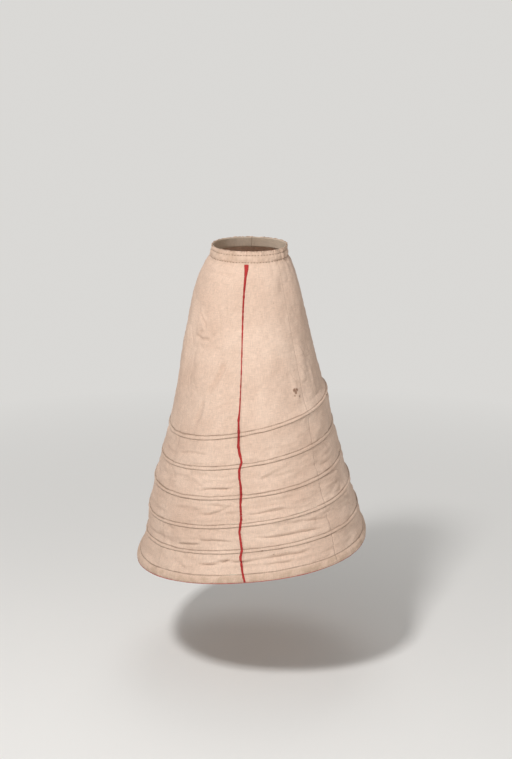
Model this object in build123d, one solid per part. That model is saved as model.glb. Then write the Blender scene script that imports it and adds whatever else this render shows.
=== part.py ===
"""Hooped petticoat of the late 1860s: a gored linen skirt, gathered by a drawcord in a waist
casing, held out by six sprung steel hoops that run in channels round its lower half.

Frame: millimetres, +Z up. The origin is the centre of the waist opening, level with the top edge
of the waist casing. The wearer's front faces -Y and the wearer's left is +X.

Every piece follows one shape, the skin of the skirt. A section of the skin lies in a slightly
tilted plane, at a given drop below the waist, and each piece is lofted through such sections,
between two turns about the waist axis and two depths under the face of the cloth.
"""

from build123d import *
import os
from bisect import bisect_right
from dataclasses import dataclass, fields
from math import ceil, cos, pi, radians, sin

# Layers: the cloth, the tape of the inner casings, and the slack left between layers
CLOTH = 0.9
TAPE = 0.7
LAYER_GAP = 0.3

# Steels, and the sleeves that close them
STEEL = 0.6
STEEL_WIDTH = 6.0
STEEL_LAP = 44.0
STEEL_LAP_GAP = 0.12
SLEEVE_WALL = 0.35
SLEEVE_LENGTH = 11.0
SLEEVE_INSET = 2.0
SLEEVE_GAP = 0.15

# Channels: half the distance between the two rows of stitching, and how far the cloth rises there
CHANNEL_HALF = 5.3
CHANNEL_SHOULDER = 1.3
CHANNEL_RISE = 2.7
TAPE_MARGIN = 2.0

# Hem: the last steel is broader, and its channel runs down to the edge
HEM_STEEL_WIDTH = 9.0
HEM_ROW_ABOVE = 11.0
HEM_EDGE_BELOW = 11.0
HEM_RISE = 4.0
HEM_TUCK = 1.5
BINDING = 2.0

# Waist casing: drops of the two rows of stitching below the top edge, and the draw tape
HEADING_ROW = 12.0
CASING_ROW = 31.0
FACING_TOP = 1.0
CASING_SHOULDER = 4.0
CASING_RISE = 2.2
DRAW_TAPE_WIDTH = 9.0

# Gathers at the waist, which leave a plain stretch at the centre front and are shallower beside it
GATHERS = 30
GATHER_DEPTH = 3.0
GATHER_FADE = 160.0
PLAIN_FRONT = 7.0
FRONT_GATHERS = 0.45

# Red piping down the centre front, which starts just under the waist casing
PIPING = 1.4
PIPING_START = CASING_ROW + 4
PIPING_LIFT = 0.2

# Turns about the waist axis, in degrees from +X, and the seams by their turn from the centre front
WEARERS_LEFT, CENTRE_BACK, CENTRE_FRONT = 0.0, 90.0, 270.0
SIDE_FRONT = 50.0
SIDE_BACK = 115.0

# The rings: 2 is an ellipse and more is squarer. Points lie POINT_STEP degrees apart, with one
# more near each end of a row, at END_SHARE of a step
ROUNDNESS = 2.2
POINT_STEP = 8.0
END_SHARE = 0.33
END_GAP = 0.5


@dataclass(frozen=True)
class Level:
    """A section of the skin: its drop below the waist, half width, depth in front of and behind
    the waist axis, rise per millimetre towards +X, fall per millimetre towards the front, and
    shift towards +X."""

    drop: float
    half_width: float
    front: float
    back: float
    tilt: float = 0.0
    dip: float = 0.03
    sway: float = 0.0


@dataclass(frozen=True)
class Rise:
    """How far the cloth stands out of the skin at a drop."""

    drop: float
    out: float


WAIST = Level(drop=0, half_width=107, front=90, back=90, sway=-1)
CASING_FOOT = Level(drop=CASING_ROW, half_width=111, front=101, back=103, sway=-3)
HIP = Level(drop=55, half_width=130, front=122, back=133, sway=-5)
UPPER_SKIRT = [
    Level(drop=141, half_width=159, front=147, back=162, tilt=0.01, sway=-9),
    Level(drop=291, half_width=188, front=188, back=205, tilt=0.06, dip=0.04, sway=-9),
    Level(drop=443, half_width=218, front=232, back=248, tilt=0.16, dip=0.06, sway=-8),
]
HOOPS = [
    Level(drop=484, half_width=233, front=246, back=262, tilt=0.20, dip=0.07, sway=-6),
    Level(drop=577, half_width=253, front=263, back=292, tilt=0.157, dip=0.05, sway=-8),
    Level(drop=663, half_width=277, front=284, back=325, tilt=0.118, dip=0.05, sway=-7),
    Level(drop=751, half_width=300, front=300, back=357, tilt=0.13, dip=0.02, sway=-3),
    Level(drop=833, half_width=317, front=309, back=385, tilt=0.11, dip=0, sway=6),
    Level(drop=909, half_width=341, front=328, back=412, tilt=0.10, dip=0, sway=4),
]
KNOTS = [WAIST, CASING_FOOT, HIP, *UPPER_SKIRT, *HOOPS]
TOP_HOOP, HEM = HOOPS[0], HOOPS[-1]
HEM_EDGE = HEM.drop + HEM_EDGE_BELOW

# Outer faces of the inner tapes and of the steels, from the skin
TAPE_FACE = -CLOTH - LAYER_GAP
STEEL_FACE = CHANNEL_RISE - CLOTH - LAYER_GAP - SLEEVE_WALL - SLEEVE_GAP


@dataclass(frozen=True)
class Fold:
    """A soft ridge in the cloth: its turn from the centre front towards the wearer's left, half
    its breadth in degrees, its height, and the drops where it starts and ends."""

    turn: float
    half: float
    height: float
    top: float
    foot: float


FOLDS = [
    Fold(turn=-62, half=11, height=6.0, top=113, foot=463),
    Fold(turn=-40, half=9, height=4.5, top=163, foot=423),
    Fold(turn=58, half=11, height=4.0, top=183, foot=463),
    Fold(turn=149, half=12, height=7.0, top=63, foot=463),
    Fold(turn=178, half=10, height=6.0, top=83, foot=433),
    Fold(turn=-155, half=12, height=7.0, top=73, foot=463),
]
FOLD_DROPS = sorted([98, 215, 367, *(level.drop for level in UPPER_SKIRT)])


@dataclass(frozen=True)
class Bend:
    """Where the piping's middle lies from the centre front towards the wearer's left, and the
    piping's width, at a drop."""

    drop: float
    shift: float
    width: float


PIPING_BENDS = [
    Bend(drop=PIPING_START, shift=2.0, width=12.0),
    Bend(drop=63, shift=3.0, width=7.0),
    Bend(drop=101, shift=2.0, width=5.0),
    Bend(drop=263, shift=0.8, width=4.0),
    Bend(drop=419, shift=-3.2, width=4.6),
    Bend(drop=446, shift=-6.2, width=7.5),
    Bend(drop=515, shift=-6.4, width=8.5),
    Bend(drop=562, shift=4.0, width=8.0),
    Bend(drop=592, shift=-1.6, width=8.0),
    Bend(drop=650, shift=4.2, width=8.0),
    Bend(drop=720, shift=2.0, width=8.0),
    Bend(drop=773, shift=-6.0, width=8.0),
    Bend(drop=818, shift=-4.6, width=8.0),
    Bend(drop=849, shift=-8.0, width=8.5),
    Bend(drop=891, shift=-1.2, width=7.5),
    Bend(drop=HEM_EDGE, shift=7.4, width=7.0),
]


def between(drop, stops):
    """The stop at a drop, in a straight line between the stops above and below it."""
    i = min(max(bisect_right([stop.drop for stop in stops], drop), 1), len(stops) - 1)
    above, below = stops[i - 1], stops[i]
    share = (drop - above.drop) / (below.drop - above.drop)
    names = [field.name for field in fields(above)]
    return type(above)(*((1 - share) * getattr(above, name) + share * getattr(below, name) for name in names))


def bump(x):
    """A smooth hill, 1 at 0 and 0 from -1 and 1 outwards."""
    return (0.5 + 0.5 * cos(pi * x)) if abs(x) < 1 else 0.0


def from_front(turn):
    """Degrees from the centre front, -180 to 180."""
    return (turn - CENTRE_FRONT + 180) % 360 - 180


def fullness(drop, turn):
    """How far the gathers and soft folds push the cloth out of the plain skin."""
    away = abs(from_front(turn))
    plain = min(max((away - PLAIN_FRONT) / PLAIN_FRONT, 0), 1)
    fade = max(1 - drop / GATHER_FADE, 0) ** 2
    deep = FRONT_GATHERS + (1 - FRONT_GATHERS) * away / 180
    gather = GATHER_DEPTH * deep * plain * fade * (0.5 - 0.5 * cos(radians(turn - CENTRE_FRONT) * GATHERS))
    folds = 0.0
    for fold in FOLDS:
        across = from_front(turn - fold.turn) / fold.half
        along = 2 * (drop - fold.top) / (fold.foot - fold.top) - 1
        folds += fold.height * bump(across) * bump(along)
    return gather + folds


def point(drop, turn, out=0.0):
    """A point of the skin, OUT millimetres outside it."""
    level = between(drop, KNOTS)
    c, s = cos(radians(turn)), sin(radians(turn))
    depth = level.back if s > 0 else level.front
    radius = (abs(c / level.half_width) ** ROUNDNESS + abs(s / depth) ** ROUNDNESS) ** (-1 / ROUNDNESS) + out
    x, y = level.sway + radius * c, radius * s
    return Vector(x, y, -drop + level.tilt * x + level.dip * y)


def girth_per_degree(drop, turn):
    """Millimetres along the skin for each degree of turn."""
    return (point(drop, turn + 0.5) - point(drop, turn - 0.5)).length


def row(start, end, step=POINT_STEP):
    """Turns from START to END, at most STEP apart, with one more near each end."""
    count = ceil((end - start) / step - 1e-6)
    span = (end - start) / count
    inner = [start + span * i for i in range(1, count)]
    return [start, start + END_SHARE * span, *inner, end - END_SHARE * span, end]


def closing_row(drop):
    """Turns all the way round from the centre back, where the two ends nearly meet."""
    gap = END_GAP / girth_per_degree(drop, CENTRE_BACK)
    return row(CENTRE_BACK + gap, CENTRE_BACK + 360 - gap)


def section(outer, inner):
    """The closed outline between an outer and an inner row of points."""
    return Wire([Spline(*outer), Line(outer[-1], inner[-1]), Spline(*inner[::-1]), Line(inner[0], outer[0])])


def strip(levels, turns, thickness):
    """A solid through levels of (drop, outer offset), which is THICKNESS deep under that offset.
    TURNS gives the turns at a drop, and an offset may be a function of the turn."""
    sections = []
    for drop, out in levels:
        at = out if callable(out) else lambda turn, out=out: out
        outer = [point(drop, t, at(t)) for t in turns(drop)]
        inner = [point(drop, t, at(t) - thickness) for t in turns(drop)]
        sections.append(section(outer, inner))
    return Solid.make_loft(sections, ruled=True)


def cloth_levels():
    """The cloth's drops and rises from the top edge down to the hem."""
    casing = [
        (0, 0.6),
        (HEADING_ROW, 0),
        (HEADING_ROW + CASING_SHOULDER, CASING_RISE),
        (CASING_ROW - CASING_SHOULDER, CASING_RISE),
        (CASING_ROW, 0),
        (HIP.drop, 0),
    ]
    body = [(drop, 0) for drop in FOLD_DROPS]
    channels = []
    for hoop in HOOPS[:-1]:
        flat = CHANNEL_HALF - CHANNEL_SHOULDER
        channels += [
            (hoop.drop - CHANNEL_HALF, 0),
            (hoop.drop - flat, CHANNEL_RISE),
            (hoop.drop + flat, CHANNEL_RISE),
            (hoop.drop + CHANNEL_HALF, 0),
        ]
    hem = [
        (HEM.drop - HEM_ROW_ABOVE, 0),
        (HEM.drop - HEM_STEEL_WIDTH / 2 - 1, HEM_RISE - HEM_TUCK),
        (HEM.drop + HEM_STEEL_WIDTH / 2, HEM_RISE),
        (HEM_EDGE, HEM_RISE - HEM_TUCK),
    ]
    return casing + body + channels + hem


def gore(start, end):
    """One panel of cloth between two seams."""

    def turns(drop):
        if drop <= HIP.drop:
            return row(start, end, 90 / GATHERS)
        return row(start, end, POINT_STEP / 2 if drop in FOLD_DROPS else POINT_STEP)

    levels = [(drop, lambda t, d=drop, rise=rise: rise + fullness(d, t)) for drop, rise in cloth_levels()]
    return strip(levels, turns, CLOTH)


def band(drops, out, thickness):
    """A band all the way round, through the given drops."""
    return strip([(drop, out) for drop in drops], closing_row, thickness)


def steel(hoop, width, start):
    """A sprung steel that laps over its own end, from START round to past START again."""
    lap = STEEL_LAP / girth_per_degree(hoop.drop, start)

    def out(turn):
        share = min(max((turn - (start + 360 - 4 * lap)) / (3 * lap), 0), 1)
        return STEEL_FACE - (STEEL + STEEL_LAP_GAP) * (0.5 - 0.5 * cos(pi * share))

    levels = [(hoop.drop - width / 2, out), (hoop.drop + width / 2, out)]
    return strip(levels, lambda drop: row(start, start + 360 + lap), STEEL)


def sleeve(hoop, width, middle):
    """A crimped sleeve round both layers of a steel, centred at a turn."""
    length = SLEEVE_LENGTH / girth_per_degree(hoop.drop, middle)
    depth = 2 * STEEL + STEEL_LAP_GAP + 2 * SLEEVE_GAP
    tall = width / 2 + SLEEVE_GAP

    def block(wall, half):
        out = STEEL_FACE + SLEEVE_GAP + wall
        levels = [(hoop.drop - tall - wall, out), (hoop.drop + tall + wall, out)]
        return strip(levels, lambda drop: [middle - half, middle, middle + half], depth + 2 * wall)

    return block(SLEEVE_WALL, length / 2) - block(0, length)


def closing_sleeves(hoop, width, start):
    """The two sleeves near the ends of a steel's lap."""
    girth = girth_per_degree(hoop.drop, start)
    lap = STEEL_LAP / girth
    inset = (SLEEVE_LENGTH / 2 + SLEEVE_INSET) / girth
    return Compound([sleeve(hoop, width, start + inset), sleeve(hoop, width, start + lap - inset)])


def piping():
    """The red strip over the centre front seam, which wanders a little to either side of it."""

    def turns(drop):
        bend = between(drop, PIPING_BENDS)
        degree = girth_per_degree(drop, CENTRE_FRONT)
        return [CENTRE_FRONT + (bend.shift + side * bend.width / 2) / degree for side in (-1, 0, 1)]

    cloth = [Rise(*level) for level in cloth_levels()]
    drops = {level.drop for level in [*cloth, *PIPING_BENDS] if level.drop >= PIPING_START}
    lift = PIPING_LIFT + PIPING
    return strip([(drop, between(drop, cloth).out + lift) for drop in sorted(drops)], turns, PIPING)


def draw_tape():
    """The tape inside the waist casing, whose ends are sewn together at the centre back."""
    middle = (HEADING_ROW + CASING_ROW) / 2
    out = CASING_RISE - CLOTH - LAYER_GAP
    drops = [middle - DRAW_TAPE_WIDTH / 2, middle + DRAW_TAPE_WIDTH / 2]
    return band(drops, out, out - TAPE_FACE - LAYER_GAP)


def hem_binding():
    """The red braid that closes the foot of the hem channel."""
    top = HEM_EDGE + LAYER_GAP
    return band([top, top + BINDING], HEM_RISE - HEM_TUCK, HEM_RISE - HEM_TUCK + TAPE - TAPE_FACE)


def build():
    """Every node by its name."""
    front = CENTRE_FRONT
    nodes = {
        "front_gore_left": gore(front, front + SIDE_FRONT),
        "side_gore_left": gore(front + SIDE_FRONT, front + SIDE_BACK),
        "back_gore_left": gore(front + SIDE_BACK, front + 180),
        "front_gore_right": gore(front - SIDE_FRONT, front),
        "side_gore_right": gore(front - SIDE_BACK, front - SIDE_FRONT),
        "back_gore_right": gore(front - 180, front - SIDE_BACK),
        "front_piping": piping(),
        "waist_draw_tape": draw_tape(),
        "waist_facing": band([FACING_TOP, CASING_ROW, CASING_ROW + TAPE_MARGIN], TAPE_FACE, TAPE),
        "hem_facing": band([HEM.drop - HEM_ROW_ABOVE - TAPE_MARGIN, HEM_EDGE], TAPE_FACE, TAPE),
        "hem_binding": hem_binding(),
    }
    for number, hoop in enumerate(HOOPS, 1):
        width = HEM_STEEL_WIDTH if hoop is HEM else STEEL_WIDTH
        start = WEARERS_LEFT if hoop is TOP_HOOP else CENTRE_BACK
        nodes[f"steel_{number}"] = steel(hoop, width, start)
        nodes[f"steel_sleeves_{number}"] = closing_sleeves(hoop, width, start)
        if hoop is not HEM:
            reach = CHANNEL_HALF + TAPE_MARGIN
            nodes[f"casing_tape_{number}"] = band([hoop.drop - reach, hoop.drop + reach], TAPE_FACE, TAPE)
    return nodes


os.makedirs("parts", exist_ok=True)
for name, shape in build().items():
    export_step(shape, f"parts/{name}.step")
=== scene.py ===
"""Looks of the hooped petticoat: linen gores with channels, puckers and creases, stitching, red
braid, inner tapes, and a pale studio. The skirt's lengths are in millimetres until a mesh is
made, and those of the studio and the camera are in metres."""

from collections import namedtuple
from math import ceil, cos, pi, radians, sin

import bpy
import numpy as np
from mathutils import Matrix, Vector


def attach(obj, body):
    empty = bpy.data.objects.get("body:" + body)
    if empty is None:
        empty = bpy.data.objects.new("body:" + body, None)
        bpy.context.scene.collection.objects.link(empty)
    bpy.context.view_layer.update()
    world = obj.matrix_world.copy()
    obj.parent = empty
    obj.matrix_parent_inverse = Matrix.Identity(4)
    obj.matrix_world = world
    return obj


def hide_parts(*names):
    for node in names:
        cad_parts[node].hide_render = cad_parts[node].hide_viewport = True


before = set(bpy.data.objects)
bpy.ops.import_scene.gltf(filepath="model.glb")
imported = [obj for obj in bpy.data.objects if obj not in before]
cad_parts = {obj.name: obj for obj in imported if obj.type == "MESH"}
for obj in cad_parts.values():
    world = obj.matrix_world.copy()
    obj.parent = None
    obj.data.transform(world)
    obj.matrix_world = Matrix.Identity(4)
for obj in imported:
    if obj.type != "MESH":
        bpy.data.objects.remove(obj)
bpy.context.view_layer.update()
MM = 0.001

# The skirt's levels, as in the CAD: drop, half width, depth in front and behind, rise per
# millimetre towards +X, fall per millimetre towards the front, and shift towards +X. The last
# one is the hem's edge, in line with the two above it.
Level = namedtuple("Level", "drop half_width front back tilt dip sway")
LEVELS = [
    Level(drop=0, half_width=107, front=90, back=90, tilt=0, dip=0.03, sway=-1),
    Level(drop=31, half_width=111, front=101, back=103, tilt=0, dip=0.03, sway=-3),
    Level(drop=55, half_width=130, front=122, back=133, tilt=0, dip=0.03, sway=-5),
    Level(drop=141, half_width=159, front=147, back=162, tilt=0.01, dip=0.03, sway=-9),
    Level(drop=291, half_width=188, front=188, back=205, tilt=0.06, dip=0.04, sway=-9),
    Level(drop=443, half_width=218, front=232, back=248, tilt=0.16, dip=0.06, sway=-8),
    Level(drop=484, half_width=233, front=246, back=262, tilt=0.20, dip=0.07, sway=-6),
    Level(drop=577, half_width=253, front=263, back=292, tilt=0.157, dip=0.05, sway=-8),
    Level(drop=663, half_width=277, front=284, back=325, tilt=0.118, dip=0.05, sway=-7),
    Level(drop=751, half_width=300, front=300, back=357, tilt=0.13, dip=0.02, sway=-3),
    Level(drop=833, half_width=317, front=309, back=385, tilt=0.11, dip=0, sway=6),
    Level(drop=909, half_width=341, front=328, back=412, tilt=0.10, dip=0, sway=4),
    Level(drop=920, half_width=344.5, front=330.8, back=415.9, tilt=0.0986, dip=0, sway=3.7),
]
ROUNDNESS = 2.2

# How far up and down the corners between the levels are rounded
ROUNDING = 30

# Drops of the hoops that run in channels, of the hem's own hoop, and of the hem's edge
HOOPS = [484, 577, 663, 751, 833]
HEM = 909
HEM_EDGE = 920

# Rows of stitching above the hem's tube, under the waist's frilled heading and under its casing
HEM_ROW = 898
HEADING_ROW = 12
CASING_ROW = 31

# Half the breadth of a channel between its rows of stitching, and how far it stands out
CHANNEL_HALF = 5.3
CHANNEL_RISE = 2.7

# Thickness of the gores, the inner tapes and the red braid, and how far outside the skin the
# inner tapes' outer face lies, negative because it is inside
CLOTH = 0.8
TAPE = 0.7
BRAID_CLOTH = 0.9
TAPE_FACE = -1.2

# Turn of the centre front, and of the two seams on each side of it, counted from there
FRONT = 270.0
SIDE_FRONT = 50.0
SIDE_BACK = 115.0

# Gathers at the waist: how many, their depth, the drop where they end, their share of that depth
# beside the front, and the degrees each side of the centre front that stay plain
GATHERS = 30
GATHER_DEPTH = 3.0
GATHER_FADE = 160.0
FRONT_FULLNESS = 0.45
PLAIN_FRONT = 7.0

# Height of the noise's lattice, the drops between which noise varies, and hills so tall that
# noise changes only along a row
LATTICE_HEIGHT = 1100
NOISE_TOP = -20
NOISE_FOOT = 1060
TALL = 400

# Millimetres along the cloth for one degree of turn, by which creases and stains are drawn
MM_PER_DEGREE = 4.6

# Turn between one column of the gores' meshes and the next
COLUMN_STEP = 0.75


def smooth(x):
    """A smooth step, 0 below 0 and 1 above 1."""
    x = np.clip(x, 0, 1)
    return x * x * (3 - 2 * x)


def bump(x):
    """A smooth hill, 1 at 0 and 0 from -1 and 1 outwards."""
    return 0.5 + 0.5 * np.cos(pi * np.clip(x, -1, 1))


def bell(x):
    """A bell curve, 1 at 0."""
    return np.exp(-(x**2))


def noise(turn, drop, breadth, height, seed, lean=0.0):
    """Smooth noise from -1 to 1, with hills of BREADTH degrees by HEIGHT millimetres, which LEAN
    by so many degrees for each millimetre down."""
    columns = max(round(360 / breadth), 4)
    rows = ceil(LATTICE_HEIGHT / height) + 3
    lattice = np.random.default_rng(seed).uniform(-1, 1, (rows, columns))
    u = (turn - lean * drop) / 360 * columns
    v = np.clip(drop, NOISE_TOP, NOISE_FOOT) / height + 1
    i, j = np.floor(u).astype(int), np.floor(v).astype(int)
    a, b = u - i, v - j
    a, b = a**3 * (a * (6 * a - 15) + 10), b**3 * (b * (6 * b - 15) + 10)
    i0, i1 = i % columns, (i + 1) % columns
    j0, j1 = np.clip(j, 0, rows - 1), np.clip(j + 1, 0, rows - 1)
    upper = lattice[j0, i0] * (1 - a) + lattice[j0, i1] * a
    lower = lattice[j1, i0] * (1 - a) + lattice[j1, i1] * a
    return upper * (1 - b) + lower * b


def crumple_lines(turn, drop, breadth, height, seed, lean):
    """Thin creases where smooth noise changes sign, 1 at their bottom."""
    hills = noise(turn, drop, breadth, height, seed, lean)
    patches = smooth(0.5 + 0.9 * noise(turn, drop, breadth=25, height=60, seed=seed + 500))
    return patches * (1 - np.minimum(np.abs(hills) * 2.2, 1)) ** 3


def from_front(turn):
    """Degrees from the centre front towards the wearer's left, -180 to 180."""
    return (turn - FRONT + 180) % 360 - 180


def rounded_levels():
    """The levels at every millimetre, with the corners between them rounded above the hoops."""
    stops = np.array(LEVELS, float)
    drops = np.arange(0, HEM_EDGE + 1.0)
    below_waist = smooth((drops - 34) / 30)
    near_hoops = smooth((drops - 430) / 40)
    reach = ROUNDING * below_waist * (1 - near_hoops)
    columns = []
    for column in stops.T[1:]:
        shifts = []
        for share in np.linspace(-1, 1, 9):
            shifts.append(np.interp(drops + share * reach, stops[:, 0], column))
        columns.append(np.mean(shifts, axis=0))
    return Level(drops, *columns)


SKIN = rounded_levels()


def surface(turn, drop, out):
    """Points of the skirt in metres, OUT millimetres outside its plain skin."""
    half, front, back, tilt, dip, sway = (np.interp(drop, SKIN.drop, column) for column in SKIN[1:])
    c, s = np.cos(np.radians(turn)), np.sin(np.radians(turn))
    depth = np.where(s > 0, back, front)
    ring = (np.abs(c / half) ** ROUNDNESS + np.abs(s / depth) ** ROUNDNESS) ** (-1 / ROUNDNESS) + out
    x, y = sway + ring * c, ring * s
    return np.stack([x, y, -drop + tilt * x + dip * y], -1) * MM


def stitch_rows():
    """Drops of the rows of stitching: waist casing, channels and hem."""
    rows = [HEADING_ROW, CASING_ROW]
    for hoop in HOOPS:
        rows += [hoop - CHANNEL_HALF, hoop + CHANNEL_HALF]
    return rows + [HEM_ROW]


STITCH_ROWS = stitch_rows()


def row_wobble(turn, row):
    """How far a hand-sewn row of stitches strays from its level."""
    slow = noise(turn, 0 * turn + row, breadth=9, height=TALL, seed=900 + int(row))
    quick = noise(turn, 0 * turn, breadth=2.5, height=TALL, seed=950 + int(row))
    return 0.9 * slow + 0.35 * quick


def row_strays(turn, row):
    """The wobble of a row, which the two rows of the waist casing don't have."""
    return row_wobble(turn, row) if row > CASING_ROW else 0


# Soft folds down the skirt: turn from the front, half breadth in degrees, height, top and foot
# drops, and how far the fold leans over its length in degrees
Fold = namedtuple("Fold", "turn half height top foot lean")
FOLDS = [
    Fold(-62, 11, 6.0, 113, 463, 5),
    Fold(-40, 9, 4.5, 163, 423, -4),
    Fold(58, 11, 4.0, 183, 463, 4),
    Fold(149, 12, 7.0, 63, 463, 0),
    Fold(178, 10, 6.0, 83, 433, 0),
    Fold(-155, 12, 7.0, 73, 463, 0),
    Fold(-50, 4.5, 2.6, 198, 453, -6),
    Fold(-71, 5, 2.4, 223, 473, 3),
    Fold(44, 4, 1.8, 313, 483, 3),
    Fold(66, 4, 2.0, 283, 483, 4),
    Fold(18, 5, 1.5, 313, 453, 3),
    Fold(-115, 8, 3.0, 103, 463, 4),
    Fold(108, 8, 3.0, 103, 463, -4),
]

# Sharp creases, from one turn and drop to another: depth (negative is a ridge) and half breadth
Crease = namedtuple("Crease", "turn drop to_turn to_drop depth half")
CREASES = [
    Crease(-59, 69, -2, 60, 1.2, 5),
    Crease(-50, 165, -38, 213, 2.0, 6),
    Crease(-38, 213, -50, 231, -1.3, 6),
    Crease(-50, 231, -29, 249, 1.4, 6),
    Crease(-11, 285, -29, 387, 2.0, 10),
    Crease(-29, 387, -36, 465, 1.9, 10),
    Crease(-9, 395, -19, 425, 1.0, 5),
    Crease(-2, 429, -12, 461, 1.0, 5),
    Crease(-29, 645, -2, 639, 1.4, 5),
    Crease(-26, 723, -2, 687, 1.6, 5),
    Crease(1, 717, 28, 724, 1.4, 5),
    Crease(-41, 825, -20, 801, 1.6, 5),
    Crease(1, 789, 49, 819, 1.8, 5),
    Crease(-26, 879, -2, 849, 1.8, 6),
    Crease(4, 867, 40, 855, 1.8, 6),
    Crease(10, 886, 28, 873, 1.4, 5),
    Crease(-30, 793, -4, 805, 1.5, 5),
    Crease(8, 623, 34, 605, 1.2, 5),
    Crease(-48, 543, -20, 531, 1.0, 5),
    Crease(22, 775, 52, 783, 1.5, 5),
    Crease(-20, 857, 12, 863, 1.5, 5),
]

# Wrinkles and crumple lines: size above the hoops, how much larger among them, breadth in
# degrees and height in millimetres of their hills, seed, and lean in degrees per millimetre
Wrinkle = namedtuple("Wrinkle", "size more_low breadth height seed lean")
WRINKLES = [
    Wrinkle(2.4, 0, 20, 130, 1, 0.02),
    Wrinkle(1.5, 0, 8, 46, 2, -0.03),
    Wrinkle(0.5, 1.7, 13, 13, 3, 0.30),
    Wrinkle(0.35, 0.65, 7, 8, 4, -0.5),
    Wrinkle(0.3, 0, 2.4, 11, 5, 0),
]
CRUMPLES = [
    Wrinkle(0.6, 2.6, 16, 17, 6, 0.22),
    Wrinkle(0.7, 1.6, 11, 24, 7, -0.35),
    Wrinkle(1.9, -1.9, 12, 60, 8, 0.12),
]


def folds(turn, drop):
    """The soft folds between the waist and the top hoop."""
    total = 0 * turn
    for fold in FOLDS:
        along = 2 * (drop - fold.top) / (fold.foot - fold.top) - 1
        stray = 1.5 * noise(0 * turn, drop, breadth=90, height=90, seed=300 + round(fold.turn))
        middle = fold.turn + fold.lean * along / 2 + stray
        total = total + fold.height * bump(from_front(turn - middle) / fold.half) * bump(along)
    return total


def crease(turn, drop, one):
    """The cloth's fall along one crease, tapering towards both ends, with a lip on one side."""
    run = (one.to_turn - one.turn) * MM_PER_DEGREE
    fall = one.to_drop - one.drop
    length = np.hypot(run, fall)
    x = (from_front(turn) - one.turn) * MM_PER_DEGREE
    y = drop - one.drop
    along = (x * run + y * fall) / length**2
    bow = 4 * np.sin(along * 5 + one.turn)
    across = (x * fall - y * run) / length + bow
    ends = smooth(along / 0.3) * smooth((1 - along) / 0.3)
    side = across / (0.8 * one.half)
    lip = 0.45 * bell((side - 1.7) / 1.2)
    return -3.2 * one.depth * ends * (bell(side) - lip)


def wrinkles(turn, drop):
    """Wrinkles, crumple lines and creases, rougher among the hoops than above them."""
    low = smooth((drop - 480) / 160)
    total = 0 * turn
    for one in WRINKLES:
        hills = noise(turn, drop, one.breadth, one.height, one.seed, one.lean)
        total = total + (one.size + one.more_low * low) * hills
    for one in CRUMPLES:
        lines = crumple_lines(turn, drop, one.breadth, one.height, one.seed, one.lean)
        total = total - (one.size + one.more_low * low) * lines
    for one in CREASES:
        total = total + crease(turn, drop, one)
    return total


def gathers(turn, drop):
    """Gathers at the waist, fuller towards the back."""
    away = np.abs(from_front(turn))
    plain = np.clip((away - PLAIN_FRONT) / PLAIN_FRONT, 0, 1)
    fade = np.clip(1 - drop / GATHER_FADE, 0, 1) ** 2
    fullness = FRONT_FULLNESS + (1 - FRONT_FULLNESS) * smooth((away - 50) / 70)
    uneven = 1.1 * noise(turn, drop, breadth=26, height=80, seed=11)
    wave = 0.5 - 0.5 * np.cos(np.radians(turn - FRONT) * GATHERS + uneven)
    fine = 0.5 + 0.5 * noise(turn, drop, breadth=3.2, height=46, seed=12)
    return GATHER_DEPTH * plain * fade * fullness * (0.75 * wave + 0.35 * fine)


def casing(turn, drop):
    """The drawn-in waist casing, with narrow upright puckers, and the frill that stands above it."""
    middle, half = (HEADING_ROW + CASING_ROW) / 2, (CASING_ROW - HEADING_ROW) / 2
    roll = 2.2 * bump((drop - middle) / half) ** 0.5
    drawn = np.clip((np.abs(from_front(turn)) - PLAIN_FRONT) / (2 * PLAIN_FRONT), 0, 1)
    inside = 1 - smooth((drop - CASING_ROW) / 16)
    puckers = 1.2 * drawn * inside * (0.45 + noise(turn, drop, breadth=3.6, height=60, seed=16))
    above = np.clip(1 - drop / HEADING_ROW, 0, 1)
    phase = np.radians(turn) * 96 + 2 * noise(turn, drop, breadth=9, height=90, seed=14)
    frill = above * (1.1 * np.sin(phase) + 0.6)
    return roll + puckers + frill


def channels(turn, drop):
    """The ridge over each steel between its two rows of stitching."""
    total = 0 * turn
    for hoop in HOOPS:
        x = (drop - hoop - row_wobble(turn, hoop)) / CHANNEL_HALF
        total = total + CHANNEL_RISE * np.maximum(1 - np.abs(x) ** 2.6, 0) ** 0.75
    return total


def hem_tube(drop):
    """The stuffed look of the hem channel, which rolls under at its edge."""
    rise = 4.0 * smooth((drop - HEM_ROW) / 9)
    return rise * (1 - 0.55 * smooth((drop - HEM_EDGE + 5) / 5))


def stitch_pull(turn, drop):
    """The groove of each row of stitching and the puckers that run off it."""
    total = 0 * turn
    on_channel = np.zeros(np.shape(turn), bool)
    for hoop in HOOPS:
        on_channel = on_channel | (np.abs(drop - hoop) < CHANNEL_HALF)
    share = np.where(on_channel, 0.35, 1)
    for k, row in enumerate(STITCH_ROWS):
        reach, broad, fine = (16, 3.4, 1.7) if row > CASING_ROW else (9, 4, 2)
        away = drop - row - row_strays(turn, row)
        groove = 0.55 * bell(away / 0.9)
        pull = bell(away / reach) * (1 - bell(away / 2.5))
        tightness = noise(turn, 0 * drop, breadth=17, height=TALL, seed=130 + k)
        strength = 0.55 + 0.75 * np.clip(0.5 + tightness, 0, 1)
        ripples = noise(turn, drop, broad, height=22, seed=30 + k, lean=0.02)
        ripples = ripples + 0.5 * noise(turn, drop, fine, height=13, seed=80 + k, lean=-0.03)
        total = total - groove + 1.25 * strength * pull * share * ripples
    return total


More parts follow.
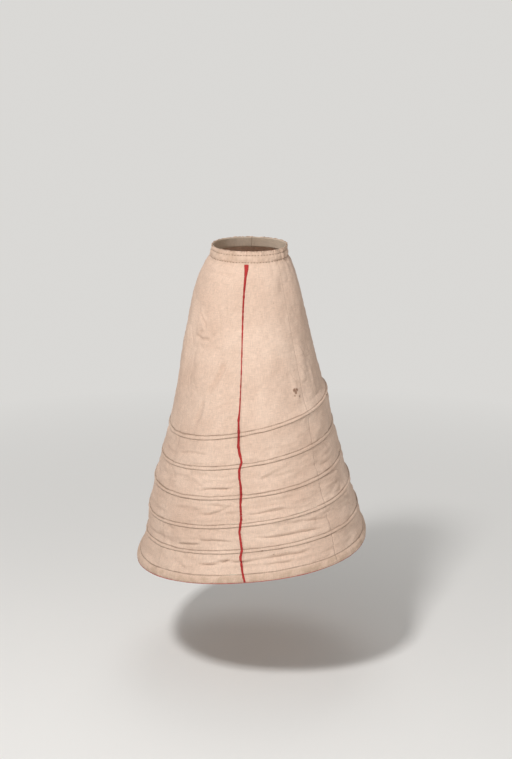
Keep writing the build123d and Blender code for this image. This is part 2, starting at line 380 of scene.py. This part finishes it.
def sag(turn, drop):
    """The cloth hangs in a little between one hoop and the next."""
    edges = HOOPS + [HEM]
    unevenness = 0.7 + 0.9 * noise(turn, drop, breadth=14, height=500, seed=70)
    total = 0 * turn
    for upper, lower in zip(edges, edges[1:]):
        share = np.clip((drop - upper) / (lower - upper), 0, 1)
        total = total + 1.2 * np.sin(pi * share) * unevenness
    return total


def held_flat(drop):
    """How much of the wrinkles is left near stitching, over the steels and at the waist."""
    left = smooth((drop - 20) / 70)
    for row in STITCH_ROWS:
        left = left * (1 - 0.85 * bell((drop - row) / 9))
    over_steel = smooth((drop - HEM_ROW) / 4)
    for hoop in HOOPS:
        over_steel = np.maximum(over_steel, 1 - smooth((np.abs(drop - hoop) - 3) / 4))
    return left * (1 - 0.88 * over_steel)


def relief(turn, drop):
    """How far the cloth's outer face stands off the plain skin."""
    sewn = stitch_pull(turn, drop) + channels(turn, drop) + casing(turn, drop) + hem_tube(drop)
    loose = gathers(turn, drop) + folds(turn, drop) - sag(turn, drop)
    return sewn + loose + wrinkles(turn, drop) * held_flat(drop)


def mesh_object(name, points, quads):
    """A smooth-shaded object of quads through a list of points."""
    mesh = bpy.data.meshes.new(name)
    mesh.from_pydata(points.reshape(-1, 3).tolist(), [], quads.reshape(-1, 4).tolist())
    mesh.update()
    mesh.polygons.foreach_set("use_smooth", np.ones(len(mesh.polygons), bool))
    obj = bpy.data.objects.new(name, mesh)
    bpy.context.collection.objects.link(obj)
    return obj


def grid_mesh(name, points):
    """A mesh of quads through a grid of points (rows by columns by 3), seen from outside."""
    rows, columns = points.shape[:2]
    index = np.arange(rows * columns).reshape(rows, columns)
    quads = np.stack([index[:-1, :-1], index[1:, :-1], index[1:, 1:], index[:-1, 1:]], -1)
    return mesh_object(name, points, quads)


def add_attributes(obj, attributes):
    """Store named values, one for each point, for the material to read."""
    for key, values in attributes.items():
        layer = obj.data.attributes.new(key, "FLOAT", "POINT")
        layer.data.foreach_set("value", values.reshape(-1).astype(np.float32))


def arc_lengths(points):
    """Distance in metres along each row and down each column of a grid of points."""
    across = np.linalg.norm(np.diff(points, axis=1), axis=-1).cumsum(1)
    down = np.linalg.norm(np.diff(points, axis=0), axis=-1).cumsum(0)
    across = np.concatenate([0 * points[:, :1, 0], across], 1)
    down = np.concatenate([0 * points[:1, :, 0], down], 0)
    return np.stack([across, down], -1)


def cloth_grid(name, points, material):
    """A grid of cloth with its material, whose weave follows the threads' own lengths."""
    obj = grid_mesh(name, points)
    mesh = obj.data
    layer = mesh.uv_layers.new(name="cloth")
    corner = np.empty(len(mesh.loops), np.int32)
    mesh.loops.foreach_get("vertex_index", corner)
    lengths = arc_lengths(points).reshape(-1, 2)[corner]
    layer.data.foreach_set("uv", lengths.astype(np.float32).reshape(-1))
    mesh.materials.append(material)
    return obj


def thicken(obj, depth):
    """Give a sheet its thickness, inwards from the face that is modelled."""
    modifier = obj.modifiers.new("thickness", "SOLIDIFY")
    modifier.thickness = depth * MM
    modifier.offset = -1
    modifier.use_even_offset = False


# Marks on the cloth: turn from the front, drop, radius in millimetres, strength
Stain = namedtuple("Stain", "turn drop radius strength")
STAINS = [
    Stain(42.2, 401, 6.5, 1.2),
    Stain(44.4, 402, 5.5, 1.2),
    Stain(43.2, 408, 5, 1.2),
    Stain(42, 418, 3, 1.0),
    Stain(46, 425, 4.5, 0.9),
    Stain(34, 141, 2.5, 0.6),
    Stain(40, 669, 5, 0.7),
    Stain(10, 837, 4, 0.8),
    Stain(13, 849, 2.5, 0.9),
    Stain(16, 852, 2.5, 0.9),
    Stain(19, 855, 2.5, 0.9),
    Stain(-57, 96, 5, 0.35),
    Stain(76, 60, 6, 0.5),
]


def stained(turn, drop):
    """Strength of the stains at each point."""
    total = 0 * turn
    for stain in STAINS:
        x = (from_front(turn) - stain.turn) * MM_PER_DEGREE
        y = drop - stain.drop
        total = np.maximum(total, stain.strength * np.exp(-((x * x + y * y) / stain.radius**2)))
    return total


def shaded_and_grimed(turn, drop):
    """Painted shade in the grooves of the rows of stitching, and grime along the top edge, 0 to 1."""
    patches = 0.5 + 0.8 * noise(turn, 0 * drop, breadth=3.2, height=TALL, seed=190)
    total = bell(drop / 2.2) * np.clip(patches, 0, 1)
    for k, row in enumerate(STITCH_ROWS):
        away = drop - row - row_strays(turn, row)
        usual = 0.75 if row > CASING_ROW else 0.25
        strength = usual + 0.25 * noise(turn, drop, breadth=5, height=300, seed=200 + k)
        total = np.maximum(total, strength * bell(away / 1.5))
    return total


def worn(drop):
    """Where handling has darkened the cloth: the hem, and more faintly the waist."""
    hem = smooth((drop - HEM_ROW) / 6)
    waist = 0.75 - 0.75 * smooth((drop - 24) / 24)
    return np.maximum(hem, waist)


# How the cloth rolls under at the hem, row by row: fall and inset in millimetres
HEM_ROLL = [(0.9, 0.5), (1.4, 1.8), (1.2, 3.2), (0.2, 3.9)]


def row_step(at):
    """Distance from one mesh row to the next: small at stitching and hem, and wider between."""
    near = min(abs(at - row) for row in STITCH_ROWS)
    if near < 3:
        return 0.85
    if near < 9 or at < 40 or at > HEM_ROW:
        return 1.5
    return 4.2


def cloth_drops():
    """Drops of the gores' mesh rows."""
    drops, at = [], 0.0
    while at < HEM_EDGE:
        drops.append(at)
        at += row_step(at)
    return np.array(drops + [HEM_EDGE])


def seam_turns():
    """Where each gore starts and ends, by its node."""
    return {
        "front_gore_left": (FRONT, FRONT + SIDE_FRONT),
        "side_gore_left": (FRONT + SIDE_FRONT, FRONT + SIDE_BACK),
        "back_gore_left": (FRONT + SIDE_BACK, FRONT + 180),
        "front_gore_right": (FRONT - SIDE_FRONT, FRONT),
        "side_gore_right": (FRONT - SIDE_BACK, FRONT - SIDE_FRONT),
        "back_gore_right": (FRONT - 180, FRONT - SIDE_BACK),
    }


def gore(name, start, end, material):
    """One panel of cloth, with an uneven top edge and its hem rolled in at the foot."""
    columns = np.linspace(start, end, round((end - start) / COLUMN_STEP) + 1)
    turn, drop = np.meshgrid(columns, cloth_drops())
    out = relief(turn, drop)
    top_edge = np.clip(1 - drop / 4, 0, 1)
    uneven = 1.3 * top_edge * noise(turn, 0 * drop, breadth=3.2, height=TALL, seed=15)
    face = surface(turn, drop + uneven, out)
    roll = []
    for fall, inset in HEM_ROLL:
        under = surface(turn[-1], drop[-1] + 0 * turn[-1], out[-1] - inset)
        roll.append(under - np.array([0, 0, fall * MM]))
    points = np.concatenate([face, np.array(roll)])
    unmarked = np.zeros((len(HEM_ROLL), len(columns)))
    attributes = {
        # Painted shade in the grooves along the stitching, and grime along the top edge
        "groove_shade_and_grime": np.concatenate([shaded_and_grimed(turn, drop), unmarked]),
        "stain": np.concatenate([stained(turn, drop), unmarked]),
        "worn": np.concatenate([worn(drop), np.ones_like(unmarked)]),
    }
    obj = cloth_grid(name, points, material)
    add_attributes(obj, attributes)
    thicken(obj, CLOTH)
    lengths = arc_lengths(points)
    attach(obj, "root")
    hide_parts(name)


# The red braid down the front: drop, offset towards the wearer's left, and width
Braid = namedtuple("Braid", "drop offset width")
BRAID = [
    Braid(35, 2.0, 12.5),
    Braid(48, 3.4, 10.5),
    Braid(63, 3.0, 8.0),
    Braid(101, 2.0, 5.4),
    Braid(183, 1.2, 4.2),
    Braid(263, 0.8, 3.6),
    Braid(318, 0.0, 3.2),
    Braid(368, -1.6, 3.0),
    Braid(419, -3.2, 3.5),
    Braid(446, -6.2, 6.5),
    Braid(483, -6.2, 6.9),
    Braid(515, -6.4, 8.2),
    Braid(535, -3.2, 7.7),
    Braid(558, 3.0, 6.5),
    Braid(566, 4.6, 6.9),
    Braid(577, 1.6, 6.5),
    Braid(589, -1.8, 6.9),
    Braid(611, -1.2, 6.5),
    Braid(631, 2.4, 6.5),
    Braid(657, 4.4, 6.9),
    Braid(687, 1.4, 6.5),
    Braid(733, 2.2, 6.9),
    Braid(755, -1.6, 7.3),
    Braid(773, -6.0, 6.9),
    Braid(798, -5.0, 6.5),
    Braid(829, -4.4, 6.9),
    Braid(849, -8.2, 7.7),
    Braid(872, -4.4, 6.5),
    Braid(891, -1.2, 6.5),
    Braid(915, 6.6, 6.0),
    Braid(919, 7.4, 6.0),
]
BRAID_STEP = 1.1


def red_braid(material):
    """A narrow folded strip, stitched over the front seam and puckered where it is caught."""
    at, offset, width = np.array(BRAID, float).T
    drops = np.arange(BRAID[0].drop, HEM_EDGE - 0.5, BRAID_STEP)
    side, drop = np.meshgrid(np.linspace(-1, 1, 9), drops)
    middle = np.interp(drop, at, offset)
    half = np.interp(drop, at, width) / 2
    per_degree = np.interp(drop, SKIN.drop, SKIN.front) * pi / 180
    ragged = 0.5 * noise(drop * 3, drop, breadth=20, height=30, seed=21) * side
    turn = FRONT + (middle + side * half + ragged) / per_degree
    fullness = 0.75 + 0.25 * noise(drop * 2, drop, breadth=16, height=30, seed=22)
    crown = 0.5 + 1.2 * np.sqrt(np.clip(1 - side**2, 0, 1)) * fullness
    dents = 0.35 * noise(drop * 9 + side * 20, drop, breadth=30, height=25, seed=23)
    points = surface(turn, drop, relief(turn, drop) + crown + dents)
    obj = cloth_grid("centre_front_braid", points, material)
    thicken(obj, BRAID_CLOTH)
    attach(obj, "root")
    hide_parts("front_piping")


# A stitch's thread, ring by ring: share of its length, half thickness, and lift off the cloth
Ring = namedtuple("Ring", "end half lift")
STITCH_RINGS = [
    Ring(end=-0.5, half=0.12, lift=-0.10),
    Ring(end=-0.28, half=0.3, lift=0.27),
    Ring(end=0.28, half=0.3, lift=0.27),
    Ring(end=0.5, half=0.12, lift=-0.10),
]
RING_SIDES = 4


def stitch_size(row):
    """A row's stitch pitch in millimetres, and its stitches' boldness and relative length."""
    if row <= CASING_ROW:
        return 9.0, 3.0, 0.8
    return 3.9, 1.3, 1.0


def row_of_stitches(k, row):
    """The corners of every stitch of one row, ring by ring."""
    pitch, bold, relative = stitch_size(row)
    level = surface(np.linspace(0, 360, 361), np.full(361, float(row)), 0)
    girth = np.linalg.norm(np.diff(level, axis=0), axis=-1).sum() / MM
    count = int(girth / pitch)
    rng = np.random.default_rng(60 + k)
    centre = np.arange(count) * 360 / count + rng.uniform(-0.12, 0.12, count)
    length = 360 / count * rng.uniform(0.5, 0.72, count) * relative
    drop = row + rng.uniform(-0.25, 0.25, count)
    lean = rng.uniform(-0.2, 0.2, count)
    corners = []
    for ring in STITCH_RINGS:
        turn = centre + ring.end * length
        fall = drop + row_strays(centre, row) + lean * ring.end
        base = relief(turn, fall) + ring.lift
        half = ring.half * bold
        for down, out in ((-half, 0), (0, half * 1.1), (half, 0), (0, -half)):
            corners.append(surface(turn, fall + down, base + out))
    return np.array(corners).transpose(1, 0, 2)


def stitch_quads():
    """The faces of one stitch, between its rings and at its two ends."""
    quads = []
    for ring in range(len(STITCH_RINGS) - 1):
        for side in range(RING_SIDES):
            a = ring * RING_SIDES + side
            b = ring * RING_SIDES + (side + 1) % RING_SIDES
            quads.append((a, b, b + RING_SIDES, a + RING_SIDES))
    return np.array(quads + [(3, 2, 1, 0), (12, 13, 14, 15)])


def stitches(material):
    """Every visible stitch as a short raised thread."""
    points = np.concatenate([row_of_stitches(k, row) for k, row in enumerate(STITCH_ROWS)])
    first = np.arange(len(points)) * len(STITCH_RINGS) * RING_SIDES
    obj = mesh_object("stitching", points, first[:, None, None] + stitch_quads())
    obj.data.materials.append(material)
    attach(obj, "root")


# Half width of a channel's inner tape, drops of the two edges of the waist facing and of the draw
# tape, how far the hem facing reaches above its row, and the draw tape's outer face and thickness
TAPE_HALF = 7.3
WAIST_FACING = (1.0, 33.0)
DRAW_TAPE = (17.0, 26.0)
HEM_FACING_ABOVE = 2.0
DRAW_TAPE_FACE = 1.0
DRAW_TAPE_DEPTH = 1.6


def all_round(count):
    """Turns right round the skirt, from just past the centre back to just short of it."""
    return np.linspace(90.2, 449.8, count)


def inner_strip(node, top, foot, out, depth, material, seed, pucker=0.25):
    """A tape round the inside, with its edges and puckers, in place of its CAD node."""
    rows = max(int((foot - top) / 2.4), 5)
    turn, drop = np.meshgrid(all_round(361), np.linspace(top, foot, rows))
    waves = pucker * noise(turn, drop, breadth=3, height=12, seed=seed)
    points = surface(turn, drop, out + waves - pucker)
    obj = cloth_grid(node + "_cloth", points, material)
    thicken(obj, depth)
    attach(obj, "root")
    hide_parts(node)
    lengths = arc_lengths(points)


def inner_tapes(material):
    """The tape behind each channel, the facings of waist and hem, and the waist's draw tape."""
    for number, hoop in enumerate(HOOPS, 1):
        top, foot = hoop - TAPE_HALF, hoop + TAPE_HALF
        inner_strip(f"casing_tape_{number}", top, foot, TAPE_FACE, TAPE, material, 50 + number)
    inner_strip("waist_facing", *WAIST_FACING, TAPE_FACE, TAPE, material, 61)
    inner_strip("hem_facing", HEM_ROW - HEM_FACING_ABOVE, HEM_EDGE, TAPE_FACE, TAPE, material, 62)
    inner_strip("waist_draw_tape", *DRAW_TAPE, DRAW_TAPE_FACE, DRAW_TAPE_DEPTH, material, 63, 0.1)


# The hem's braid: half its width, half its thickness, how far its middle stands out from the skin
# at the hem's edge, and how far it hangs below that edge
HEM_BRAID_HALF = 1.5
HEM_BRAID_RISE = 0.75
HEM_BRAID_OUT = 0.6
HEM_BRAID_FALL = 1.5


def hem_braid(material):
    """The thin red braid along the foot of the hem."""
    turn, share = np.meshgrid(all_round(500), np.linspace(0, 2 * pi, 9))
    uneven = 0.35 * noise(turn, 0 * turn, breadth=2, height=300, seed=41)
    uneven = uneven + 0.4 * noise(turn, 0 * turn, breadth=14, height=300, seed=42)
    out = HEM_BRAID_OUT + HEM_BRAID_HALF * np.cos(share) + uneven
    ring = surface(turn, np.full_like(turn, HEM_EDGE), out)
    ring[..., 2] -= (HEM_BRAID_FALL + HEM_BRAID_RISE * np.sin(share)) * MM
    obj = cloth_grid("hem_braid", ring, material)
    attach(obj, "root")
    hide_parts("hem_binding")


# The frayed threads: how many, the spans of each, their root's turn, rise above the top hoop and
# distance from the skin, and the threads' radius and stray
THREADS = 9
THREAD_SPANS = 4
TUFT_TURN = 349.5
TUFT_RISE = 3.0
TUFT_OUT = 3.0
THREAD_RADIUS = 0.28
THREAD_STRAY = 1.4


def thread_tuft(material):
    """Frayed threads that stick out of the top channel at the wearer's left."""
    rng = np.random.default_rng(5)
    root = Vector(surface(TUFT_TURN, HOOPS[0] - TUFT_RISE, TUFT_OUT))
    for k in range(THREADS):
        curve = bpy.data.curves.new(f"thread_{k}", "CURVE")
        curve.dimensions = "3D"
        curve.bevel_depth = THREAD_RADIUS * MM
        curve.bevel_resolution = 1
        spline = curve.splines.new("NURBS")
        spline.points.add(THREAD_SPANS)
        way = Vector((1.0, rng.uniform(-0.6, 0.2), rng.uniform(-0.2, 0.9))).normalized()
        reach = rng.uniform(4, 9) * MM
        for i, point in enumerate(spline.points):
            share = i / THREAD_SPANS
            stray = Vector(rng.uniform(-1, 1, 3)) * share * THREAD_STRAY * MM
            point.co = (*(root + way * reach * share + stray), 1)
        spline.order_u = 3
        spline.use_endpoint_u = True
        obj = bpy.data.objects.new(f"loose_thread_{k}", curve)
        bpy.context.collection.objects.link(obj)
        curve.materials.append(material)
        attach(obj, "root")


def dress_cad(prefix, material):
    """Give the CAD nodes whose names start that way their material."""
    for name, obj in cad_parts.items():
        if name.startswith(prefix):
            obj.data.materials.clear()
            obj.data.materials.append(material)


def metal_parts(steel, brass):
    """The sleeves that close the steels, and the steels, one for each channel and one for the hem."""
    dress_cad("steel_sleeves", brass)
    for number in range(1, len(HOOPS) + 2):
        dress_cad(f"steel_{number}", steel)


def new_material(name):
    """A new material, its node tree and its shader."""
    material = bpy.data.materials.new(name)
    material.use_nodes = True
    tree = material.node_tree
    return material, tree, tree.nodes["Principled BSDF"]


def feed(tree, value, socket):
    """Link an output to a socket, or write a number or a colour into it."""
    if hasattr(value, "is_output"):
        tree.links.new(value, socket)
    elif isinstance(value, (int, float)):
        socket.default_value = value
    else:
        socket.default_value = (*value, 1)


def mixed(tree, factor, a, b, blend="MIX"):
    """A colour mix, whose factor and colours are sockets or values."""
    mix = tree.nodes.new("ShaderNodeMix")
    mix.data_type = "RGBA"
    mix.blend_type = blend
    for value, socket in ((factor, mix.inputs[0]), (a, mix.inputs[6]), (b, mix.inputs[7])):
        feed(tree, value, socket)
    return mix.outputs[2]


def computed(tree, operation, *values):
    """The result of a sum on sockets or numbers."""
    node = tree.nodes.new("ShaderNodeMath")
    node.operation = operation
    for value, socket in zip(values, node.inputs):
        feed(tree, value, socket)
    return node.outputs[0]


def scaled(tree, value, low, high, to_low=0.0, to_high=1.0):
    """A value mapped from one range to another, and held inside it."""
    node = tree.nodes.new("ShaderNodeMapRange")
    tree.links.new(value, node.inputs[0])
    for socket, number in zip(node.inputs[1:5], (low, high, to_low, to_high)):
        socket.default_value = number
    return node.outputs[0]


def attribute(tree, name):
    """A value that the mesh stores at each of its points."""
    node = tree.nodes.new("ShaderNodeAttribute")
    node.attribute_name = name
    return node.outputs["Fac"]


def cloud(tree, vector, scale, detail, rough, stretch=(1, 1, 1)):
    """Noise over a vector, stretched along its axes."""
    mapping = tree.nodes.new("ShaderNodeMapping")
    mapping.inputs["Scale"].default_value = stretch
    tree.links.new(vector, mapping.inputs["Vector"])
    node = tree.nodes.new("ShaderNodeTexNoise")
    node.inputs["Scale"].default_value = scale
    node.inputs["Detail"].default_value = detail
    node.inputs["Roughness"].default_value = rough
    tree.links.new(mapping.outputs[0], node.inputs["Vector"])
    return node.outputs["Fac"]


def bumped(tree, height, strength, distance, under=None):
    """A normal bumped by up to DISTANCE millimetres, on top of the bumps UNDER it."""
    node = tree.nodes.new("ShaderNodeBump")
    node.inputs["Strength"].default_value = strength
    node.inputs["Distance"].default_value = distance * MM
    tree.links.new(height, node.inputs["Height"])
    if under is not None:
        tree.links.new(under, node.inputs["Normal"])
    return node.outputs[0]


def weave_height(tree, uv, pitch):
    """Threads crossing over and under, PITCH millimetres apart, as a height from 0 to 1."""
    separate = tree.nodes.new("ShaderNodeSeparateXYZ")
    tree.links.new(uv, separate.inputs[0])
    waves = []
    for axis in (0, 1):
        phase = computed(tree, "MULTIPLY", separate.outputs[axis], pi / (pitch * MM))
        waves.append(computed(tree, "SINE", phase))
    return scaled(tree, computed(tree, "MULTIPLY", *waves), -1, 1)


# Colours of the painted shade along the stitching and grime along the top edge, of the stains and of
# the worn edges
GROOVE_SHADE_AND_GRIME_COLOUR = (0.19, 0.115, 0.075)
STAIN_COLOUR = (0.16, 0.07, 0.035)
WORN_COLOUR = (0.36, 0.24, 0.15)


def with_marks(tree, colour, place):
    """The cloth's colour with painted shade along its stitching and grime along its top edge, its
    stains and its worn edges.
    """
    blotching = cloud(tree, place, scale=60, detail=5, rough=0.7)
    patchy = scaled(tree, blotching, 0.3, 0.62, 0.5, 1.0)
    # Painted shade in the grooves along the stitching, and grime along the top edge, made patchy
    line = computed(tree, "MULTIPLY", attribute(tree, "groove_shade_and_grime"), patchy)
    colour = mixed(tree, scaled(tree, line, 0, 1, 0, 0.85), colour, GROOVE_SHADE_AND_GRIME_COLOUR)
    ragged = scaled(tree, blotching, 0.3, 0.7, -0.35, 0.25)
    blot = computed(tree, "ADD", attribute(tree, "stain"), ragged)
    colour = mixed(tree, scaled(tree, blot, 0.3, 0.75, 0, 0.8), colour, STAIN_COLOUR)
    rubbing = scaled(tree, cloud(tree, place, scale=26, detail=5, rough=0.65), 0.42, 0.7, 0.1, 0.6)
    edge = computed(tree, "MULTIPLY", attribute(tree, "worn"), rubbing)
    return mixed(tree, edge, colour, WORN_COLOUR)


def cloth_material(name, pale, dark, pitch=1.1, marked=False):
    """Plain-woven cloth with slubs, faint mottling and a soft sheen."""
    material, tree, shader = new_material(name)
    uv = tree.nodes.new("ShaderNodeUVMap").outputs[0]
    place = tree.nodes.new("ShaderNodeTexCoord").outputs["Object"]
    slubs_across = cloud(tree, uv, scale=420, detail=3, rough=0.6, stretch=(0.12, 1, 1))
    slubs_down = cloud(tree, uv, scale=420, detail=3, rough=0.6, stretch=(1, 0.12, 1))
    slubs = mixed(tree, 0.5, slubs_across, slubs_down)
    mottle = cloud(tree, place, scale=9, detail=6, rough=0.6)
    broad = cloud(tree, place, scale=2.2, detail=3, rough=0.5)
    height = weave_height(tree, uv, pitch)
    colour = mixed(tree, scaled(tree, mottle, 0.35, 0.68), pale, dark)
    colour = mixed(tree, scaled(tree, broad, 0.4, 0.7, 0, 0.45), colour, dark)
    colour = mixed(tree, 1.0, colour, scaled(tree, slubs, 0.38, 0.62, 0.86, 1.08), "MULTIPLY")
    colour = mixed(tree, 1.0, colour, scaled(tree, height, 0, 1, 0.88, 1.03), "MULTIPLY")
    if marked:
        colour = with_marks(tree, colour, place)
    threads = bumped(tree, mixed(tree, 0.5, height, slubs), strength=0.5, distance=0.35)
    crumpling = cloud(tree, place, scale=75, detail=4, rough=0.55)
    normal = bumped(tree, crumpling, strength=0.45, distance=1.2, under=threads)
    tree.links.new(colour, shader.inputs["Base Color"])
    tree.links.new(normal, shader.inputs["Normal"])
    tree.links.new(scaled(tree, mottle, 0.3, 0.7, 0.82, 0.95), shader.inputs["Roughness"])
    shader.inputs["Sheen Weight"].default_value = 0.04
    shader.inputs["Sheen Roughness"].default_value = 0.6
    shader.inputs["Specular IOR Level"].default_value = 0.18
    return material


def metal_material(name, colour, tarnish, rough):
    """Brushed metal with dull patches."""
    material, tree, shader = new_material(name)
    place = tree.nodes.new("ShaderNodeTexCoord").outputs["Object"]
    patches = cloud(tree, place, scale=55, detail=5, rough=0.65)
    scratches = cloud(tree, place, scale=500, detail=2, rough=0.5, stretch=(0.2, 0.2, 1))
    dulled = mixed(tree, scaled(tree, patches, 0.42, 0.66), colour, tarnish)
    dullness = scaled(tree, patches, 0.35, 0.7, rough, rough + 0.3)
    tree.links.new(dulled, shader.inputs["Base Color"])
    tree.links.new(dullness, shader.inputs["Roughness"])
    tree.links.new(bumped(tree, scratches, strength=0.25, distance=0.05), shader.inputs["Normal"])
    shader.inputs["Metallic"].default_value = 1.0
    return material


# The background's colour, the floor's colour, height and half side, and the distances between
# which the floor fades into the background
BACKGROUND = (0.70, 0.69, 0.67)
FLOOR_COLOUR = (0.84, 0.83, 0.81)
FLOOR_Z = -1.30
FLOOR_HALF = 80.0
NEAR_FLOOR = 1.3
FAR_FLOOR = 3.2

# The even light from all round, and the lamps, which all point at the middle of the skirt
WORLD_COLOUR = (1.0, 0.98, 0.95)
WORLD_STRENGTH = 0.30
Lamp = namedtuple("Lamp", "name place size power")
LAMPS = [
    Lamp(name="key", place=(-1.25, -2.75, 3.1), size=0.6, power=158),
    Lamp(name="fill", place=(2.6, -3.4, -0.2), size=2.4, power=44),
    Lamp(name="top", place=(0.0, 1.6, 3.0), size=2.0, power=22),
]
LAMP_TARGET = (0, 0, -0.5)


def seen_by_camera(tree):
    """1 where a ray comes straight from the camera, and 0 for the rays that carry light."""
    return tree.nodes.new("ShaderNodeLightPath").outputs["Is Camera Ray"]


def show_mix(tree, factor, first, second, output):
    """Send a mix of two shaders to the output node."""
    mix = tree.nodes.new("ShaderNodeMixShader")
    for value, socket in zip((factor, first, second), mix.inputs):
        tree.links.new(value, socket)
    tree.links.new(mix.outputs[0], tree.nodes[output].inputs["Surface"])


def floor_material():
    """A matt floor that takes shadows near the skirt, and looks evenly pale to the camera far off."""
    material, tree, shader = new_material("pale_floor")
    shader.inputs["Base Color"].default_value = (*FLOOR_COLOUR, 1)
    shader.inputs["Roughness"].default_value = 0.9
    place = tree.nodes.new("ShaderNodeNewGeometry").outputs["Position"]
    reach = tree.nodes.new("ShaderNodeVectorMath")
    reach.operation = "LENGTH"
    tree.links.new(place, reach.inputs[0])
    distance = scaled(tree, reach.outputs["Value"], NEAR_FLOOR, FAR_FLOOR)
    far = computed(tree, "MULTIPLY", distance, seen_by_camera(tree))
    glow = tree.nodes.new("ShaderNodeEmission")
    glow.inputs["Color"].default_value = (*BACKGROUND, 1)
    show_mix(tree, far, shader.outputs[0], glow.outputs[0], "Material Output")
    return material


def pale_world():
    """Even light from all round, behind which the camera sees the pale background."""
    world = bpy.data.worlds.new("studio")
    world.use_nodes = True
    tree = world.node_tree
    light = tree.nodes["Background"]
    light.inputs["Color"].default_value = (*WORLD_COLOUR, 1)
    light.inputs["Strength"].default_value = WORLD_STRENGTH
    backdrop = tree.nodes.new("ShaderNodeBackground")
    backdrop.inputs["Color"].default_value = (*BACKGROUND, 1)
    show_mix(tree, seen_by_camera(tree), light.outputs[0], backdrop.outputs[0], "World Output")
    return world


def aim(obj, way):
    """Turn a lamp or the camera to look along a direction."""
    obj.rotation_euler = way.to_track_quat("-Z", "Y").to_euler()


def studio():
    """A pale floor and background, and soft lamps at the left, at the right and above."""
    corners = []
    for y in (FLOOR_HALF, -FLOOR_HALF):
        corners.append([(x, y, FLOOR_Z) for x in (-FLOOR_HALF, FLOOR_HALF)])
    ground = grid_mesh("floor", np.array(corners))
    ground.data.materials.append(floor_material())
    for lamp in LAMPS:
        light = bpy.data.lights.new(lamp.name, "AREA")
        light.energy = lamp.power
        light.size = lamp.size
        obj = bpy.data.objects.new(lamp.name, light)
        obj.location = lamp.place
        aim(obj, Vector(LAMP_TARGET) - Vector(lamp.place))
        bpy.context.collection.objects.link(obj)
    bpy.context.scene.world = pale_world()
    bpy.context.scene.view_settings.view_transform = "Standard"


# The photograph's camera: distance from the waist's axis, height above the waist, turn towards
# the wearer's left, step sideways and downward pitch
CAMERA_DISTANCE = 5.0
CAMERA_HEIGHT = 1.052
CAMERA_TURN = 4.5
CAMERA_STEP = 0.0175
CAMERA_PITCH = 16.3

# Its focal length and the photograph's long side in pixels, and Blender's sensor in millimetres
CAMERA_FOCAL = 1756.0
IMAGE_LONG_SIDE = 759.0
SENSOR = 36.0


def camera():
    """The camera at the photograph's viewing angle."""
    data = bpy.data.cameras.new("camera")
    data.sensor_width = SENSOR
    data.lens = CAMERA_FOCAL / IMAGE_LONG_SIDE * SENSOR
    obj = bpy.data.objects.new("camera", data)
    turn, pitch = radians(CAMERA_TURN), radians(CAMERA_PITCH)
    sideways = Vector((cos(turn), sin(turn), 0))
    back = Vector((sin(turn), -cos(turn), 0))
    obj.location = back * CAMERA_DISTANCE + sideways * CAMERA_STEP + Vector((0, 0, CAMERA_HEIGHT))
    aim(obj, -back * cos(pitch) - Vector((0, 0, sin(pitch))))
    bpy.context.collection.objects.link(obj)
    bpy.context.scene.camera = obj


linen = cloth_material("linen", pale=(0.80, 0.60, 0.475), dark=(0.70, 0.50, 0.385), marked=True)
tape = cloth_material("cotton_tape", pale=(0.72, 0.60, 0.48), dark=(0.62, 0.50, 0.38), pitch=0.8)
red = cloth_material("red_braid", pale=(0.52, 0.045, 0.04), dark=(0.34, 0.03, 0.03), pitch=0.9)
thread = cloth_material("thread", pale=(0.34, 0.235, 0.17), dark=(0.20, 0.13, 0.09), pitch=0.6)
steel = metal_material("spring_steel", (0.32, 0.32, 0.33), tarnish=(0.12, 0.09, 0.07), rough=0.35)
brass = metal_material("brass", (0.62, 0.45, 0.18), tarnish=(0.28, 0.19, 0.08), rough=0.3)

for node, (start, end) in seam_turns().items():
    gore(node, start, end, linen)
red_braid(red)
stitches(thread)
inner_tapes(tape)
hem_braid(red)
thread_tuft(thread)
metal_parts(steel, brass)
studio()
camera()
